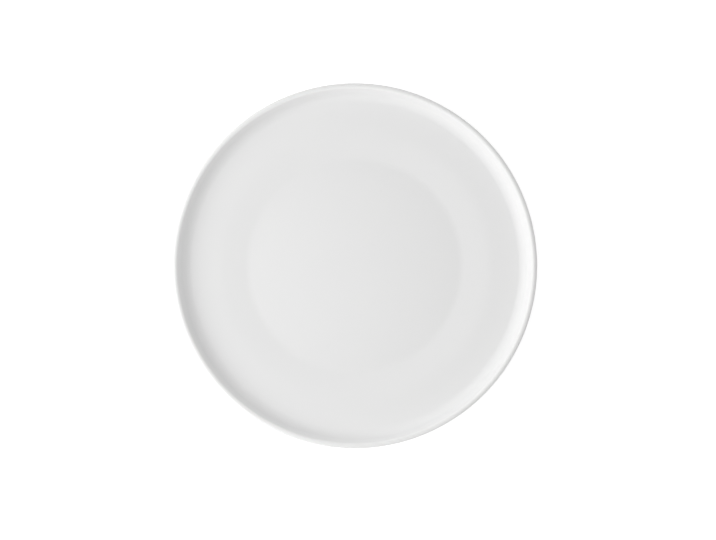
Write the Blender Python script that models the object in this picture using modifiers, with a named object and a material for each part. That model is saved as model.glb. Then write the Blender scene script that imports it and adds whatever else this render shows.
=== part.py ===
"""Breakfast plate, modelled as it is made: a turned porcelain body and the glaze fired onto it.

Metres, +Z up. The origin is on the table, under the middle of the plate.
Run with blender --background --python part.py, or from the text editor.
"""

import math

import bpy
from mathutils import Matrix, Vector

# Finished plate, measured over the glaze
PLATE_DIAMETER = 0.220
PLATE_HEIGHT = 0.0205
WALL_THICKNESS = 0.0042
WELL_DIAMETER = 0.130
WELL_HEIGHT = 0.0070
WELL_EDGE_RADIUS = 0.030
SHOULDER_WIDTH = 0.0171
SHOULDER_SLOPE = math.radians(9.4)
FLANGE_EDGE_RADIUS = 0.090
FLANGE_SLOPE = math.radians(4.8)
RIM_SLOPE = math.radians(65.0)
RIM_RADIUS = 0.0070
LIP_THICKNESS = 0.0036

# Foot ring, measured on the bare porcelain
FOOT_DIAMETER = 0.130
FOOT_WIDTH = 0.0030
FOOT_TAPER = math.radians(20.0)
FOOT_EDGE_RADIUS = 0.0006
FOOT_FILLET_RADIUS = 0.0025

# Glaze, and the hairline that keeps it a solid of its own
GLAZE_THICKNESS = 0.00025
GLAZE_GAP = 0.00005
GLAZE_LINE_HEIGHT = 0.0008

# Fineness of the turned surfaces
TURN_STEPS = 64
CHORD_ERROR = 0.00008
MERGE_DISTANCE = 0.000001

# Colours, linear
BISCUIT_COLOUR = (0.78, 0.76, 0.72, 1.0)
GLAZE_COLOUR = (0.80, 0.80, 0.79, 1.0)
BISCUIT_ROUGHNESS = 0.75
GLAZE_ROUGHNESS = 0.10

QUARTER_TURN = math.radians(90.0)
HALF_TURN = math.radians(180.0)


def clear_scene():
    for old in list(bpy.data.objects):
        bpy.data.objects.remove(old, do_unlink=True)


def heading(angle):
    """Unit vector in the section plane, where x is the radius and y the height."""
    return Vector((math.cos(angle), math.sin(angle)))


def left_of(direction):
    """The plate's outside, because the section is followed with the clay on its right."""
    return Vector((-direction.y, direction.x))


def straight(through, angle):
    """A straight stretch of the section: a point on it and its direction of travel."""
    return Vector(through), heading(angle)


def meeting_point(first, second):
    (start, direction), (other_start, other_direction) = first, second
    travel = (other_start - start).cross(other_direction) / direction.cross(other_direction)
    return start + direction * travel


def turn_between(first, second):
    """Signed angle from one stretch to the next, positive where the section is hollow."""
    return math.atan2(first[1].cross(second[1]), first[1].dot(second[1]))


def rounded_corner(start, direction, turn, radius):
    """Points and outward normals along the arc that leaves start and turns off direction."""
    outward = left_of(direction)
    side = math.copysign(radius, turn)
    centre = start + outward * side
    step = 2 * math.acos(1 - min(CHORD_ERROR / max(radius, CHORD_ERROR), 1))
    count = max(2, math.ceil(abs(turn) / step))
    for index in range(count + 1):
        normal = Matrix.Rotation(turn * index / count, 2) @ outward
        yield centre - normal * side, normal


def followed(stretches, radii):
    """Points and outward normals from the first stretch's point to the last one's.

    Corners whose arcs are too long for the wall between them get smaller radii.
    """
    pairs = list(zip(stretches, stretches[1:]))
    corners = [meeting_point(*pair) for pair in pairs]
    turns = [turn_between(*pair) for pair in pairs]
    setbacks = [radius * math.tan(abs(turn) / 2) for radius, turn in zip(radii, turns)]
    for after in range(1, len(corners)):
        before = after - 1
        room = (corners[after] - corners[before]).length
        share = min(room / (setbacks[before] + setbacks[after]), 1)
        setbacks[before] *= share
        setbacks[after] *= share

    stations = [(stretches[0][0], left_of(stretches[0][1]))]
    for (stretch, _), corner, turn, setback in zip(pairs, corners, turns, setbacks):
        start = corner - stretch[1] * setback
        radius = setback / math.tan(abs(turn) / 2)
        for point, normal in rounded_corner(start, stretch[1], turn, radius):
            if (point - stations[-1][0]).length > MERGE_DISTANCE:
                stations.append((point, normal))
    stations.append((stretches[-1][0], left_of(stretches[-1][1])))
    return stations


def body_section():
    """The porcelain's half section: over the top, round the lip, under the flange, round the foot."""
    coat = GLAZE_THICKNESS + GLAZE_GAP
    lip_radius = LIP_THICKNESS / 2
    lip_centre = Vector((PLATE_DIAMETER / 2 - lip_radius, PLATE_HEIGHT - lip_radius))
    bare_lip = lip_radius - coat
    rim_up = heading(RIM_SLOPE)
    rim_in = left_of(rim_up)
    well_edge = Vector((WELL_DIAMETER / 2, WELL_HEIGHT))
    flange_edge = well_edge + heading(SHOULDER_SLOPE) * (SHOULDER_WIDTH / math.cos(SHOULDER_SLOPE))
    finished_rim = straight(lip_centre + rim_in * lip_radius, RIM_SLOPE)
    rim_edge = meeting_point(straight(flange_edge, FLANGE_SLOPE), finished_rim)
    across_flange = (rim_edge - well_edge).normalized()
    underside_depth = WALL_THICKNESS - coat
    foot_outer = (FOOT_DIAMETER + FOOT_WIDTH) / 2
    foot_inner = (FOOT_DIAMETER - FOOT_WIDTH) / 2

    well = straight((0, WELL_HEIGHT - coat), 0)
    shoulder = straight(well_edge - left_of(heading(SHOULDER_SLOPE)) * coat, SHOULDER_SLOPE)
    flange = straight(flange_edge - left_of(heading(FLANGE_SLOPE)) * coat, FLANGE_SLOPE)
    rim_inside = straight(lip_centre + rim_in * bare_lip, RIM_SLOPE)
    lip = straight(lip_centre + rim_up * bare_lip, RIM_SLOPE - QUARTER_TURN)
    rim_outside = straight(lip_centre - rim_in * bare_lip, RIM_SLOPE - HALF_TURN)
    flange_underside = well_edge - left_of(across_flange) * underside_depth, -across_flange
    foot_outside = straight((foot_outer, 0), -QUARTER_TURN - FOOT_TAPER)
    foot_bottom = straight((foot_inner, 0), HALF_TURN)
    foot_inside = straight((foot_inner, 0), QUARTER_TURN + FOOT_TAPER)
    well_underside = straight((0, WELL_HEIGHT - underside_depth), HALF_TURN)

    top = (well, shoulder, flange, rim_inside, lip)
    hollow_radii = (WELL_EDGE_RADIUS + coat, FLANGE_EDGE_RADIUS - coat, RIM_RADIUS + coat)
    top_radii = hollow_radii + (bare_lip, bare_lip)
    outside = (rim_outside, flange_underside, foot_outside)
    outside_radii = (RIM_RADIUS + underside_depth, FOOT_FILLET_RADIUS + coat, FOOT_EDGE_RADIUS)
    under = (foot_bottom, foot_inside, well_underside)
    under_radii = (FOOT_EDGE_RADIUS, FOOT_FILLET_RADIUS + coat)
    return followed(top + outside + under, top_radii + outside_radii + under_radii)


def glaze_end(above, below):
    """The station between two others where the glaze stops, wiped off the foot below it."""
    share = (above[0].y - GLAZE_LINE_HEIGHT) / (above[0].y - below[0].y)
    return above[0].lerp(below[0], share), above[1].lerp(below[1], share).normalized()


def glazed_stretches(stations):
    """The stations that the outer coat covers, and those that the glaze inside the foot covers."""
    bare = [index for index, (point, _) in enumerate(stations) if point.y < GLAZE_LINE_HEIGHT]
    first, last = bare[0], bare[-1]
    outside = stations[:first] + [glaze_end(stations[first - 1], stations[first])]
    inside = [glaze_end(stations[last + 1], stations[last])] + stations[last + 1:]
    return outside, inside


def offset(stations, distance):
    return [point + normal * distance for point, normal in stations]


def turned(name, outline, material, plate, collection):
    """One piece of the plate: an outline from axis to axis, swept round +Z."""
    mesh = bpy.data.meshes.new(name)
    edges = [(index, index + 1) for index in range(len(outline) - 1)]
    mesh.from_pydata([(point.x, 0, point.y) for point in outline], edges, [])
    mesh.materials.append(material)
    piece = bpy.data.objects.new(name, mesh)
    piece.parent = plate
    collection.objects.link(piece)
    sweep = piece.modifiers.new("turned", "SCREW")
    sweep.axis = "Z"
    sweep.angle = 2 * HALF_TURN
    sweep.steps = TURN_STEPS
    sweep.render_steps = TURN_STEPS
    sweep.use_merge_vertices = True
    sweep.merge_threshold = MERGE_DISTANCE
    sweep.use_smooth_shade = True


def fired_material(name, colour, roughness):
    material = bpy.data.materials.new(name)
    material.use_nodes = True
    shader = material.node_tree.nodes["Principled BSDF"]
    shader.inputs["Base Color"].default_value = colour
    shader.inputs["Roughness"].default_value = roughness
    shader.inputs["Metallic"].default_value = 0.0
    return material


def main():
    clear_scene()
    collection = bpy.data.collections.new("breakfast_plate")
    bpy.context.scene.collection.children.link(collection)
    plate = bpy.data.objects.new("plate", None)
    collection.objects.link(plate)

    biscuit = fired_material("biscuit_porcelain", BISCUIT_COLOUR, BISCUIT_ROUGHNESS)
    outer_glaze = fired_material("outer_glaze", GLAZE_COLOUR, GLAZE_ROUGHNESS)
    inner_glaze = fired_material("foot_well_glaze", GLAZE_COLOUR, GLAZE_ROUGHNESS)

    body = body_section()
    outside, inside = glazed_stretches(body)
    glaze_back = GLAZE_GAP
    glaze_front = GLAZE_GAP + GLAZE_THICKNESS
    coat_outline = offset(outside, glaze_front) + offset(outside, glaze_back)[::-1]
    well_outline = offset(inside, glaze_back)[::-1] + offset(inside, glaze_front)
    turned("porcelain_body", offset(body, 0), biscuit, plate, collection)
    turned("glaze_coat", coat_outline, outer_glaze, plate, collection)
    turned("foot_well_glaze", well_outline, inner_glaze, plate, collection)


main()
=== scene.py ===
"""Finished look of the white breakfast plate: glazed porcelain standing on a bare foot ring.

Metres, +Z up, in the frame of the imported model. The camera looks straight down, as the photograph does.
"""

import math

import bpy
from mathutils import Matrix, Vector


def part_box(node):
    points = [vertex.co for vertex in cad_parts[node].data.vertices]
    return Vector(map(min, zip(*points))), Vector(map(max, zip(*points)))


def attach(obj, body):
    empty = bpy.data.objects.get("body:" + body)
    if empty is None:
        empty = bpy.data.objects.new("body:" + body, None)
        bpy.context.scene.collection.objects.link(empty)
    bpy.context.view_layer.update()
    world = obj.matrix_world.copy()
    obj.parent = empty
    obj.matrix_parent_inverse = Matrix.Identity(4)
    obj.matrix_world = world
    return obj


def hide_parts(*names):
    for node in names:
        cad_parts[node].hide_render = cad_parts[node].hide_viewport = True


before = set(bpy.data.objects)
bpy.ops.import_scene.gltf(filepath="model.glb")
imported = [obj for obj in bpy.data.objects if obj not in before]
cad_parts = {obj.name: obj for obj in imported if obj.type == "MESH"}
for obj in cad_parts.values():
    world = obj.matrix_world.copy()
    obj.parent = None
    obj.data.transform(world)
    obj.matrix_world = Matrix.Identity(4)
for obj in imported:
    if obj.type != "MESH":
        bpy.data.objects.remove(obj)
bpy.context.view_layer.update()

# Finished section of the plate, over the glaze
PLATE_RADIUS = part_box("glaze_coat")[1].x
PLATE_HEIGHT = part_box("glaze_coat")[1].z
WALL_THICKNESS = 0.0042
WELL_RADIUS = 0.065
WELL_HEIGHT = 0.0070
WELL_EDGE_RADIUS = 0.030
SHOULDER_WIDTH = 0.0171
SHOULDER_SLOPE = math.radians(9.4)
FLANGE_EDGE_RADIUS = 0.090
FLANGE_SLOPE = math.radians(4.8)
RIM_SLOPE = math.radians(65.0)
RIM_RADIUS = 0.0070
LIP_RADIUS = 0.0018
WELL_EDGE = Vector((WELL_RADIUS, 0.0, WELL_HEIGHT))
LIP_CENTRE = Vector((PLATE_RADIUS - LIP_RADIUS, 0.0, PLATE_HEIGHT - LIP_RADIUS))

# Foot ring, on the bare porcelain
FOOT_OUTER_RADIUS = 0.0665
FOOT_INNER_RADIUS = 0.0635
FOOT_TAPER = math.radians(20.0)
FOOT_EDGE_RADIUS = 0.0006
FOOT_FILLET_RADIUS = 0.0025

# Glaze
GLAZE_THICKNESS = 0.00025
GLAZE_GAP = 0.00005
GLAZE_DEPTH = GLAZE_THICKNESS + GLAZE_GAP
GLAZE_LINE_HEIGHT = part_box("glaze_coat")[0].z
WIPED_EDGE_ROUND = 0.00009
WIPED_EDGE_STEPS = 3
WIPED_EDGE_ANGLE = math.radians(60.0)

# Fineness of the turned meshes
TURN_STEPS = 256
ARC_STEP = math.radians(4.0)
LEAST_ARC_STEPS = 6
WELD_DISTANCE = 0.000002
SMOOTH_ANGLE = math.radians(35.0)

QUARTER_TURN = math.radians(90.0)
HALF_TURN = math.radians(180.0)
FULL_TURN = math.radians(360.0)

# Finishes, linear colours
GLAZE_COLOUR = (0.795, 0.795, 0.795, 1.0)
# Lighter glaze colour: painted light on the lip, and thin glaze in the faint clouds
LIP_LIGHT_AND_THIN_GLAZE_COLOUR = (0.805, 0.805, 0.80, 1.0)
GLAZE_ROUGHNESS = 0.08
GLAZE_RELIEF = 0.0000015
BISCUIT_COLOUR = (0.78, 0.76, 0.72, 1.0)
WORN_BISCUIT_COLOUR = (0.60, 0.58, 0.55, 1.0)
BISCUIT_ROUGHNESS = 0.75
BISCUIT_RELIEF = 0.000008
NOISE_LOW = 0.3
NOISE_HIGH = 0.7

# Photograph's framing
PHOTO_WIDTH_PX = 716
PLATE_RADIUS_PX = 182.6
PLATE_LEFT_OF_CENTRE_PX = 3.36
PLATE_ABOVE_CENTRE_PX = 4.20
LENS_MM = 85.0
SENSOR_MM = 36.0

# Studio: fill from all round, brighter near the horizon, and a soft panel that leans in from the left
FLOOR_SIZE = 8.0
FLOOR_COLOUR = (0.72, 0.72, 0.72, 1.0)
FLOOR_LIFT = 0.68
SHADOW_KEPT_WITHIN = 0.090
FLOOR_LIFTED_BEYOND = 0.115
WHITE = (1.0, 1.0, 1.0, 1.0)
FILL_STRENGTH = 0.42
HORIZON_STRENGTH = 1.53
HORIZON_FULL_BELOW = math.radians(10.0)
HORIZON_GONE_ABOVE = math.radians(25.0)
KEY_AZIMUTH = math.radians(190.0)
KEY_DISTANCE = 0.48
KEY_HEIGHT = 0.48
KEY_SIZE = 0.68
KEY_BRIGHTNESS = 2.74


# Section of the plate

def heading(angle):
    """Unit vector in the XZ plane, where x is the radius."""
    return Vector((math.cos(angle), 0.0, math.sin(angle)))


def left_of(direction):
    """The outside of the plate, because a section is drawn with the clay on its right."""
    return Vector((-direction.z, 0.0, direction.x))


def leg(through, angle):
    """A straight stretch of a section: a point on it and its direction."""
    return Vector(through), heading(angle)


def turned_area(first, second):
    return first.x * second.z - first.z * second.x


def meeting_point(before, after):
    travel = turned_area(after[0] - before[0], after[1]) / turned_area(before[1], after[1])
    return before[0] + before[1] * travel


def at_height(stretch, height):
    """The point of a leg at that height."""
    point, direction = stretch
    return point + direction * ((height - point.z) / direction.z)


def flange_edge():
    """Where the shoulder and the flange would meet in a sharp corner."""
    return WELL_EDGE + heading(SHOULDER_SLOPE) * (SHOULDER_WIDTH / math.cos(SHOULDER_SLOPE))


def top_section(depth):
    """Legs and corner radii over the well, shoulder, flange, rim and lip, that deep under the surface."""
    lip_radius = LIP_RADIUS - depth
    rim_up = heading(RIM_SLOPE)
    legs = [
        leg((0.0, 0.0, WELL_HEIGHT - depth), 0.0),
        leg(WELL_EDGE - left_of(heading(SHOULDER_SLOPE)) * depth, SHOULDER_SLOPE),
        leg(flange_edge() - left_of(heading(FLANGE_SLOPE)) * depth, FLANGE_SLOPE),
        leg(LIP_CENTRE + left_of(rim_up) * lip_radius, RIM_SLOPE),
        leg(LIP_CENTRE + rim_up * lip_radius, RIM_SLOPE - QUARTER_TURN),
    ]
    hollow_radii = [WELL_EDGE_RADIUS + depth, FLANGE_EDGE_RADIUS - depth, RIM_RADIUS + depth]
    return legs, hollow_radii + [lip_radius, lip_radius]


def outside_section(depth):
    """Legs and corner radii down the outside: rim, underside of the flange, outer side of the foot."""
    rim_in = left_of(heading(RIM_SLOPE))
    rim_inside = leg(LIP_CENTRE + rim_in * LIP_RADIUS, RIM_SLOPE)
    rim_edge = meeting_point(leg(flange_edge(), FLANGE_SLOPE), rim_inside)
    across_flange = (rim_edge - WELL_EDGE).normalized()
    under = WALL_THICKNESS - depth
    foot_angle = -QUARTER_TURN - FOOT_TAPER
    foot_side = Vector((FOOT_OUTER_RADIUS, 0.0, 0.0)) + left_of(heading(foot_angle)) * (GLAZE_DEPTH - depth)
    legs = [
        leg(LIP_CENTRE - rim_in * (LIP_RADIUS - depth), RIM_SLOPE - HALF_TURN),
        (WELL_EDGE - left_of(across_flange) * under, -across_flange),
        leg(foot_side, foot_angle),
    ]
    return legs, [RIM_RADIUS + under, FOOT_FILLET_RADIUS + depth]


def foot_well_section(depth):
    """Legs and corner radius up the inner side of the foot and over the hollow underside."""
    foot_angle = QUARTER_TURN + FOOT_TAPER
    foot_side = Vector((FOOT_INNER_RADIUS, 0.0, 0.0)) + left_of(heading(foot_angle)) * (GLAZE_DEPTH - depth)
    legs = [
        leg(foot_side, foot_angle),
        leg((0.0, 0.0, WELL_HEIGHT - WALL_THICKNESS + depth), HALF_TURN),
    ]
    return legs, [FOOT_FILLET_RADIUS + depth]


# Modelling

def extrude_to(pen, point):
    if (point - pen).length > WELD_DISTANCE:
        bpy.ops.mesh.extrude_region_move(TRANSFORM_OT_translate={"value": point - pen})
    return point


def draw_section(name, legs, radii):
    """Draw half a section from one vertex: each leg is extruded, and each corner is spun to its radius."""
    bpy.ops.object.select_all(action="DESELECT")
    bpy.ops.mesh.primitive_plane_add(size=PLATE_RADIUS)
    piece = bpy.context.object
    piece.name = name
    bpy.ops.object.mode_set(mode="EDIT")
    bpy.ops.mesh.merge(type="CENTER")
    pen = legs[0][0]
    bpy.ops.transform.translate(value=pen)
    for before, after, radius in zip(legs, legs[1:], radii):
        corner = meeting_point(before, after)
        turn = math.atan2(turned_area(before[1], after[1]), before[1].dot(after[1]))
        setback = radius * math.tan(abs(turn) / 2)
        pen = extrude_to(pen, corner - before[1] * setback)
        centre = pen + left_of(before[1]) * math.copysign(radius, turn)
        steps = max(LEAST_ARC_STEPS, math.ceil(abs(turn) / ARC_STEP))
        bpy.ops.mesh.spin(steps=steps, angle=turn, center=centre, axis=(0.0, 1.0, 0.0))
        pen = corner + after[1] * setback
    extrude_to(pen, legs[-1][0])
    return piece


def spin_round_axis():
    bpy.ops.mesh.select_all(action="SELECT")
    bpy.ops.mesh.spin(steps=TURN_STEPS, angle=FULL_TURN, center=(0.0, 0.0, 0.0), axis=(0.0, 0.0, 1.0))
    bpy.ops.mesh.select_all(action="SELECT")
    bpy.ops.mesh.remove_doubles(threshold=WELD_DISTANCE)
    bpy.ops.mesh.normals_make_consistent(inside=False)
    bpy.ops.object.mode_set(mode="OBJECT")


def thicken_glaze(piece, side):
    """Give the glaze its wall, on that side of the drawn surface, and round the edge where it was wiped."""
    wall = piece.modifiers.new("glaze_wall", "SOLIDIFY")
    wall.thickness = GLAZE_THICKNESS
    wall.offset = side
    wall.use_even_offset = True
    bpy.ops.object.modifier_apply(modifier=wall.name)
    edge = piece.modifiers.new("wiped_edge", "BEVEL")
    edge.width = WIPED_EDGE_ROUND
    edge.segments = WIPED_EDGE_STEPS
    edge.limit_method = "ANGLE"
    edge.angle_limit = WIPED_EDGE_ANGLE
    bpy.ops.object.modifier_apply(modifier=edge.name)


def finish_piece(piece, material, node):
    bpy.ops.object.shade_smooth_by_angle(angle=SMOOTH_ANGLE)
    piece.data.materials.clear()
    piece.data.materials.append(material)
    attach(piece, "root")
    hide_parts(node)


def make_porcelain_body(material):
    top_legs, top_radii = top_section(GLAZE_DEPTH)
    side_legs, side_radii = outside_section(GLAZE_DEPTH)
    under_legs, under_radii = foot_well_section(GLAZE_DEPTH)
    foot_bottom = leg((FOOT_INNER_RADIUS, 0.0, 0.0), HALF_TURN)
    legs = top_legs + side_legs + [foot_bottom] + under_legs
    foot_edges = [FOOT_EDGE_RADIUS, FOOT_EDGE_RADIUS]
    piece = draw_section("plate_porcelain", legs, top_radii + side_radii + foot_edges + under_radii)
    spin_round_axis()
    finish_piece(piece, material, "porcelain_body")


def make_glaze_coat(material):
    top_legs, top_radii = top_section(0.0)
    side_legs, side_radii = outside_section(0.0)
    foot_side = side_legs.pop()
    wiped_line = at_height(foot_side, GLAZE_LINE_HEIGHT)
    legs = top_legs + side_legs + [(wiped_line, foot_side[1])]
    piece = draw_section("plate_glaze", legs, top_radii + side_radii)
    spin_round_axis()
    thicken_glaze(piece, side=-1.0)
    finish_piece(piece, material, "glaze_coat")


def make_foot_well_glaze(material):
    (foot_side, underside), radii = foot_well_section(0.0)
    wiped_line = at_height(foot_side, GLAZE_LINE_HEIGHT)
    piece = draw_section("plate_foot_well_glaze", [(wiped_line, foot_side[1]), underside], radii)
    spin_round_axis()
    thicken_glaze(piece, side=1.0)
    finish_piece(piece, material, "foot_well_glaze")


# Shared surface effects

def effect_group(name, inputs, output):
    """An empty node group with number sockets, and its input and output sockets to wire up."""
    tree = bpy.data.node_groups.new(name, "ShaderNodeTree")
    for label, value in inputs.items():
        socket = tree.interface.new_socket(label, in_out="INPUT", socket_type="NodeSocketFloat")
        socket.default_value = value
    tree.interface.new_socket(output, in_out="OUTPUT", socket_type="NodeSocketFloat")
    given = tree.nodes.new("NodeGroupInput").outputs
    return tree, given, tree.nodes.new("NodeGroupOutput").inputs[output]


def math_node(tree, operation, first, second=None):
    node = tree.nodes.new("ShaderNodeMath")
    node.operation = operation
    for socket, value in zip(node.inputs, (first, second)):
        if isinstance(value, bpy.types.NodeSocket):
            tree.links.new(value, socket)
        elif value is not None:
            socket.default_value = value
    return node.outputs["Value"]


def place_on_piece(tree):
    return tree.nodes.new("ShaderNodeTexCoord").outputs["Object"]


def split_place(tree):
    apart = tree.nodes.new("ShaderNodeSeparateXYZ")
    tree.links.new(place_on_piece(tree), apart.inputs["Vector"])
    return apart.outputs


def distance_from_axis(tree):
    place = split_place(tree)
    across = math_node(tree, "POWER", place["X"], 2.0)
    along = math_node(tree, "POWER", place["Y"], 2.0)
    return math_node(tree, "SQRT", math_node(tree, "ADD", across, along))


def patchy_noise(tree, patch, detail):
    """Soft noise in patches of a size in metres."""
    shrink = tree.nodes.new("ShaderNodeVectorMath")
    shrink.operation = "SCALE"
    tree.links.new(place_on_piece(tree), shrink.inputs["Vector"])
    tree.links.new(math_node(tree, "DIVIDE", 1.0, patch), shrink.inputs["Scale"])
    texture = tree.nodes.new("ShaderNodeTexNoise")
    texture.inputs["Scale"].default_value = 1.0
    texture.inputs["Detail"].default_value = detail
    tree.links.new(shrink.outputs["Vector"], texture.inputs["Vector"])
    return texture.outputs["Fac"]


def turning_rings_group():
    """Faint rings round the axis, left by the shaping tool, that waver from patch to patch."""
    inputs = {"Spacing": 0.003, "Waver": 0.001, "Patch": 0.03}
    tree, given, height = effect_group("turning_rings", inputs, "Height")
    shake = math_node(tree, "SUBTRACT", patchy_noise(tree, given["Patch"], detail=1.0), 0.5)
    drift = math_node(tree, "MULTIPLY", shake, given["Waver"])
    wavering = math_node(tree, "ADD", distance_from_axis(tree), drift)
    phase = math_node(tree, "DIVIDE", math_node(tree, "MULTIPLY", wavering, FULL_TURN), given["Spacing"])
    raised = math_node(tree, "ADD", math_node(tree, "SINE", phase), 1.0)
    tree.links.new(math_node(tree, "MULTIPLY", raised, 0.5), height)
    return tree


def kiln_clouds_group():
    """Soft patches that drift between a low and a high level."""
    tree, given, level = effect_group("kiln_clouds", {"Patch": 0.03, "Low": 0.0, "High": 1.0}, "Level")
    spread = tree.nodes.new("ShaderNodeMapRange")
    spread.inputs["From Min"].default_value = NOISE_LOW
    spread.inputs["From Max"].default_value = NOISE_HIGH
    tree.links.new(patchy_noise(tree, given["Patch"], detail=2.0), spread.inputs["Value"])
    tree.links.new(given["Low"], spread.inputs["To Min"])
    tree.links.new(given["High"], spread.inputs["To Max"])
    tree.links.new(spread.outputs["Result"], level)
    return tree


def height_mask_group():
    """0 below one height, 1 above another and a smooth rise between them."""
    tree, given, mask = effect_group("height_mask", {"Low": 0.0, "High": 0.01}, "Mask")
    rise = tree.nodes.new("ShaderNodeMapRange")
    rise.interpolation_type = "SMOOTHSTEP"
    tree.links.new(split_place(tree)["Z"], rise.inputs["Value"])
    tree.links.new(given["Low"], rise.inputs["From Min"])
    tree.links.new(given["High"], rise.inputs["From Max"])
    tree.links.new(rise.outputs["Result"], mask)
    return tree


def place_group(tree, group, **values):
    """The output of a shared effect, placed in a material with its own values."""
    node = tree.nodes.new("ShaderNodeGroup")
    node.node_tree = group
    for label, value in values.items():
        node.inputs[label].default_value = value
    return node.outputs[0]


# Materials

def fired_material(name, colour, roughness):
    material = bpy.data.materials.new(name)
    material.use_nodes = True
    tree = material.node_tree
    shader = tree.nodes["Principled BSDF"].inputs
    shader["Base Color"].default_value = colour
    shader["Roughness"].default_value = roughness
    return material, tree, shader


def mixed_colour(tree, share, first, second):
    """The first colour where the share is 0, the second where it is 1."""
    mix = tree.nodes.new("ShaderNodeMix")
    mix.data_type = "RGBA"
    tree.links.new(share, mix.inputs["Factor"])
    first_socket, second_socket = [socket for socket in mix.inputs if socket.type == "RGBA"]
    first_socket.default_value = first
    second_socket.default_value = second
    return next(socket for socket in mix.outputs if socket.type == "RGBA")


def bump(tree, shader, height, distance):
    node = tree.nodes.new("ShaderNodeBump")
    node.inputs["Strength"].default_value = 1.0
    node.inputs["Distance"].default_value = distance
    tree.links.new(height, node.inputs["Height"])
    tree.links.new(node.outputs["Normal"], shader["Normal"])


def white_glaze(rings, clouds, heights):
    """Glossy white glaze, lightened on the lip with painted light and thin in faint clouds, over what is
    left of the turning rings.
    """
    material, tree, shader = fired_material("white_glaze", GLAZE_COLOUR, GLAZE_ROUGHNESS)
    # The lip is made lighter as painted light; the clouds are glaze that is thinner at random.
    painted_lip_light = place_group(tree, heights, Low=PLATE_HEIGHT - LIP_RADIUS, High=PLATE_HEIGHT)
    in_clouds = place_group(tree, clouds, Patch=0.03, Low=0.0, High=0.4)
    lip_light_and_thin_glaze = math_node(tree, "MAXIMUM", painted_lip_light, in_clouds)
    tree.links.new(mixed_colour(tree, lip_light_and_thin_glaze, GLAZE_COLOUR, LIP_LIGHT_AND_THIN_GLAZE_COLOUR), shader["Base Color"])
    tree.links.new(place_group(tree, clouds, Patch=0.012, Low=0.06, High=0.10), shader["Roughness"])
    ridges = place_group(tree, rings, Spacing=0.0035, Waver=0.0015, Patch=0.04)
    swell = place_group(tree, clouds, Patch=0.02, Low=0.0, High=3.0)
    bump(tree, shader, math_node(tree, "ADD", ridges, swell), GLAZE_RELIEF)
    return material


def bare_biscuit(rings, clouds, heights):
    """Matte unglazed porcelain, scuffed greyer where it stands on the table."""
    material, tree, shader = fired_material("bare_biscuit", BISCUIT_COLOUR, BISCUIT_ROUGHNESS)
    off_table = place_group(tree, heights, Low=0.0, High=FOOT_EDGE_RADIUS)
    unscuffed = place_group(tree, clouds, Patch=0.0025, Low=0.35, High=1.0)
    clean = math_node(tree, "MAXIMUM", off_table, unscuffed)
    tree.links.new(mixed_colour(tree, clean, WORN_BISCUIT_COLOUR, BISCUIT_COLOUR), shader["Base Color"])
    tree.links.new(place_group(tree, clouds, Patch=0.001, Low=0.65, High=0.85), shader["Roughness"])
    ridges = place_group(tree, rings, Spacing=0.0006, Waver=0.0004, Patch=0.01)
    grain = place_group(tree, clouds, Patch=0.0003, Low=0.0, High=2.0)
    bump(tree, shader, math_node(tree, "ADD", ridges, grain), BISCUIT_RELIEF)
    return material


# Stage, light and camera

def seen_or_reflected(tree):
    """1 on rays from the camera, a mirror or glass, and 0 on the rays that light the plate."""
    path = tree.nodes.new("ShaderNodeLightPath").outputs
    seen = math_node(tree, "MAXIMUM", path["Is Camera Ray"], path["Is Glossy Ray"])
    return math_node(tree, "MAXIMUM", seen, path["Is Transmission Ray"])


def lay_floor():
    """A pale floor, lifted to white where it is seen or reflected, except in the shadow under the plate."""
    bpy.ops.object.select_all(action="DESELECT")
    bpy.ops.mesh.primitive_plane_add(size=FLOOR_SIZE)
    floor = bpy.context.object
    floor.name = "studio_floor"
    material = bpy.data.materials.new("white_floor")
    material.use_nodes = True
    tree = material.node_tree
    tree.nodes.clear()
    diffuse = tree.nodes.new("ShaderNodeBsdfDiffuse")
    diffuse.inputs["Color"].default_value = FLOOR_COLOUR
    clear_of_plate = tree.nodes.new("ShaderNodeMapRange")
    clear_of_plate.interpolation_type = "SMOOTHSTEP"
    clear_of_plate.inputs["From Min"].default_value = SHADOW_KEPT_WITHIN
    clear_of_plate.inputs["From Max"].default_value = FLOOR_LIFTED_BEYOND
    clear_of_plate.inputs["To Max"].default_value = FLOOR_LIFT
    tree.links.new(distance_from_axis(tree), clear_of_plate.inputs["Value"])
    strength = math_node(tree, "MULTIPLY", seen_or_reflected(tree), clear_of_plate.outputs["Result"])
    lift = tree.nodes.new("ShaderNodeEmission")
    tree.links.new(strength, lift.inputs["Strength"])
    both = tree.nodes.new("ShaderNodeAddShader")
    tree.links.new(diffuse.outputs["BSDF"], both.inputs[0])
    tree.links.new(lift.outputs["Emission"], both.inputs[1])
    tree.links.new(both.outputs["Shader"], tree.nodes.new("ShaderNodeOutputMaterial").inputs["Surface"])
    floor.data.materials.append(material)


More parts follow.
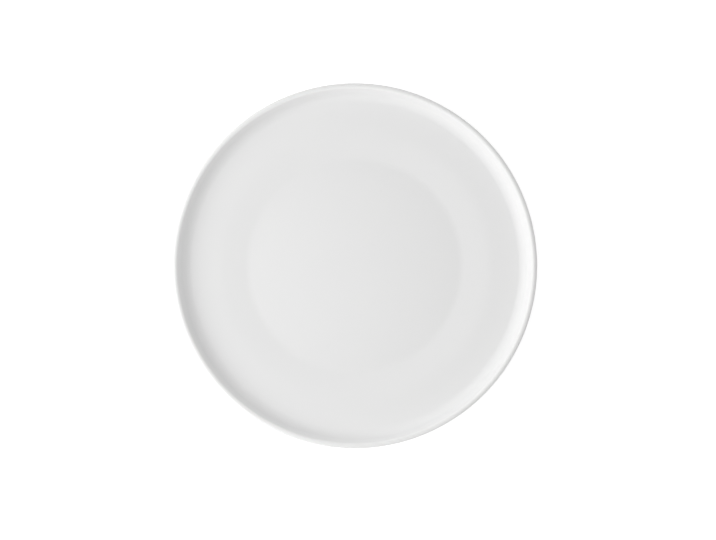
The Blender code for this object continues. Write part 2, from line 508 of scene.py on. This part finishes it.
def fill_world():
    """White where it is seen or reflected; as light on the plate, dimmer overhead than near the horizon."""
    world = bpy.data.worlds.new("studio")
    bpy.context.scene.world = world
    world.use_nodes = True
    tree = world.node_tree
    background = tree.nodes["Background"].inputs
    background["Color"].default_value = WHITE
    skyward = tree.nodes.new("ShaderNodeSeparateXYZ")
    tree.links.new(tree.nodes.new("ShaderNodeTexCoord").outputs["Generated"], skyward.inputs["Vector"])
    light = tree.nodes.new("ShaderNodeMapRange")
    light.interpolation_type = "SMOOTHSTEP"
    light.inputs["From Min"].default_value = math.sin(HORIZON_FULL_BELOW)
    light.inputs["From Max"].default_value = math.sin(HORIZON_GONE_ABOVE)
    light.inputs["To Min"].default_value = HORIZON_STRENGTH
    light.inputs["To Max"].default_value = FILL_STRENGTH
    tree.links.new(skyward.outputs["Z"], light.inputs["Value"])
    level = tree.nodes.new("ShaderNodeMapRange")
    level.inputs["To Max"].default_value = 1.0
    tree.links.new(seen_or_reflected(tree), level.inputs["Value"])
    tree.links.new(light.outputs["Result"], level.inputs["To Min"])
    tree.links.new(level.outputs["Result"], background["Strength"])


def hang_key_panel():
    """A soft square panel, left of the plate and turned down to it, that the glaze doesn't mirror."""
    panel = bpy.data.lights.new("key_panel", "AREA")
    panel.shape = "SQUARE"
    panel.size = KEY_SIZE
    panel.energy = KEY_BRIGHTNESS * math.pi * KEY_SIZE ** 2  # watts of a panel that bright
    lamp = bpy.data.objects.new("key_panel", panel)
    bpy.context.scene.collection.objects.link(lamp)
    outward = Vector((math.cos(KEY_AZIMUTH), math.sin(KEY_AZIMUTH), 0.0))
    lamp.location = outward * KEY_DISTANCE + Vector((0.0, 0.0, KEY_HEIGHT))
    lamp.rotation_euler = lamp.location.to_track_quat("Z", "Y").to_euler()
    lamp.visible_camera = False
    lamp.visible_glossy = False


def set_camera():
    """Straight above the plate, so that its outline has the photograph's size and place."""
    metres_per_px = PLATE_RADIUS / PLATE_RADIUS_PX
    frame_width = PHOTO_WIDTH_PX * metres_per_px
    camera = bpy.data.cameras.new("overhead")
    camera.lens = LENS_MM
    camera.sensor_width = SENSOR_MM
    holder = bpy.data.objects.new("overhead", camera)
    bpy.context.scene.collection.objects.link(holder)
    holder.location = (
        PLATE_LEFT_OF_CENTRE_PX * metres_per_px,
        -PLATE_ABOVE_CENTRE_PX * metres_per_px,
        LIP_CENTRE.z + frame_width * LENS_MM / SENSOR_MM,
    )
    bpy.context.scene.camera = holder


effects = turning_rings_group(), kiln_clouds_group(), height_mask_group()
glaze = white_glaze(*effects)
make_porcelain_body(bare_biscuit(*effects))
make_glaze_coat(glaze)
make_foot_well_glaze(glaze)

lay_floor()
fill_world()
hang_key_panel()
set_camera()
bpy.context.scene.view_settings.view_transform = "Standard"
